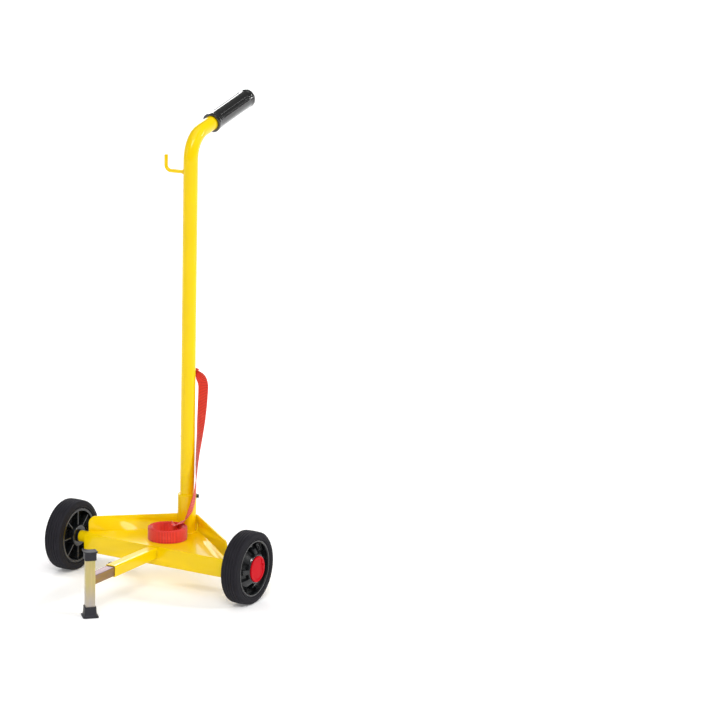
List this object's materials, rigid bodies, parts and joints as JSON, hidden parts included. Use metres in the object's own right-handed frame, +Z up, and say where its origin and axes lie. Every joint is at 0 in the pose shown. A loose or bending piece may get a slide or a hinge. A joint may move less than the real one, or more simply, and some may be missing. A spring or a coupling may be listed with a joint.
{
  "type": "torch cart",
  "caption": "Single-post gas cylinder cart with bent grip handle, hose hook, lashing strap, folded base tray, two side wheels and a sliding prop leg.",
  "frame": {"origin": "on the floor, at the centre of the whole object's footprint box", "axes": "+Z up, +X to the cart's right along the axle, +Y to the back, where the grip points; the prop leg is at -Y"},
  "size_m": [0.515, 0.6448, 1.0706],
  "materials": {
    "yellow_steel": "glossy yellow powder coat on steel",
    "yellow_tube": "glossy yellow powder coat on aluminium tube",
    "bright_steel": "plain turned steel",
    "dark_steel": "black-oxide fasteners",
    "yellow_zinc": "yellow-passivated zinc plate",
    "black_rubber": "matt moulded rubber",
    "black_grip": "glossy moulded grip",
    "red_webbing": "woven polyester webbing with cross ribs",
    "tyre": "solid rubber tyre, grooved tread",
    "black_plastic": "moulded rim, semi-gloss",
    "bush_plastic": "natural nylon",
    "red_plastic": "glossy moulded cap"
  },
  "bodies": {
    "frame": {"base_plate": "yellow_steel", "axle_tube": "yellow_steel", "axle_rod": "bright_steel", "thrust_washers": "black_plastic", "axle_retainers": "bright_steel", "outrigger_tube": "yellow_steel", "lock_nut": "dark_steel", "mast_socket": "yellow_steel", "mast_tube": "yellow_tube", "socket_screw": "dark_steel", "screw_washer": "dark_steel", "mast_rivet": "dark_steel", "handle_grip": "black_grip", "hose_hook": "yellow_steel", "strap_staple": "yellow_steel", "strap_loop": "red_webbing", "strap_run": "red_webbing", "strap_coil": "red_webbing"},
    "left_wheel": {"left_tyre": "tyre", "left_rim": "black_plastic", "left_bush": "bush_plastic", "left_hub_cap": "red_plastic"},
    "right_wheel": {"right_tyre": "tyre", "right_rim": "black_plastic", "right_bush": "bush_plastic", "right_hub_cap": "red_plastic"},
    "prop_leg": {"slide_bar": "yellow_zinc", "leg_post": "yellow_zinc", "leg_foot": "black_rubber", "leg_top_cap": "black_rubber"},
    "lock_bolt": {"lock_bolt": "dark_steel"}
  },
  "joints": [
    {"name": "left_wheel_spin", "type": "hinge", "parent": "frame", "child": "left_wheel", "pos_m": [-0.23, -0.03944, 0.08], "axis": [1, 0, 0], "continuous": true},
    {"name": "right_wheel_spin", "type": "hinge", "parent": "frame", "child": "right_wheel", "pos_m": [0.23, -0.03944, 0.08], "axis": [1, 0, 0], "continuous": true},
    {"name": "leg_slide", "type": "slide", "parent": "frame", "child": "prop_leg", "axis": [0, -1, 0], "range_m": [-0.05, 0.05]},
    {"name": "lock_bolt_turn", "type": "hinge", "parent": "frame", "child": "lock_bolt", "pos_m": [-0.0125, -0.18944, 0.0805], "axis": [-1, 0, 0], "range_deg": [0, 720]}
  ]
}
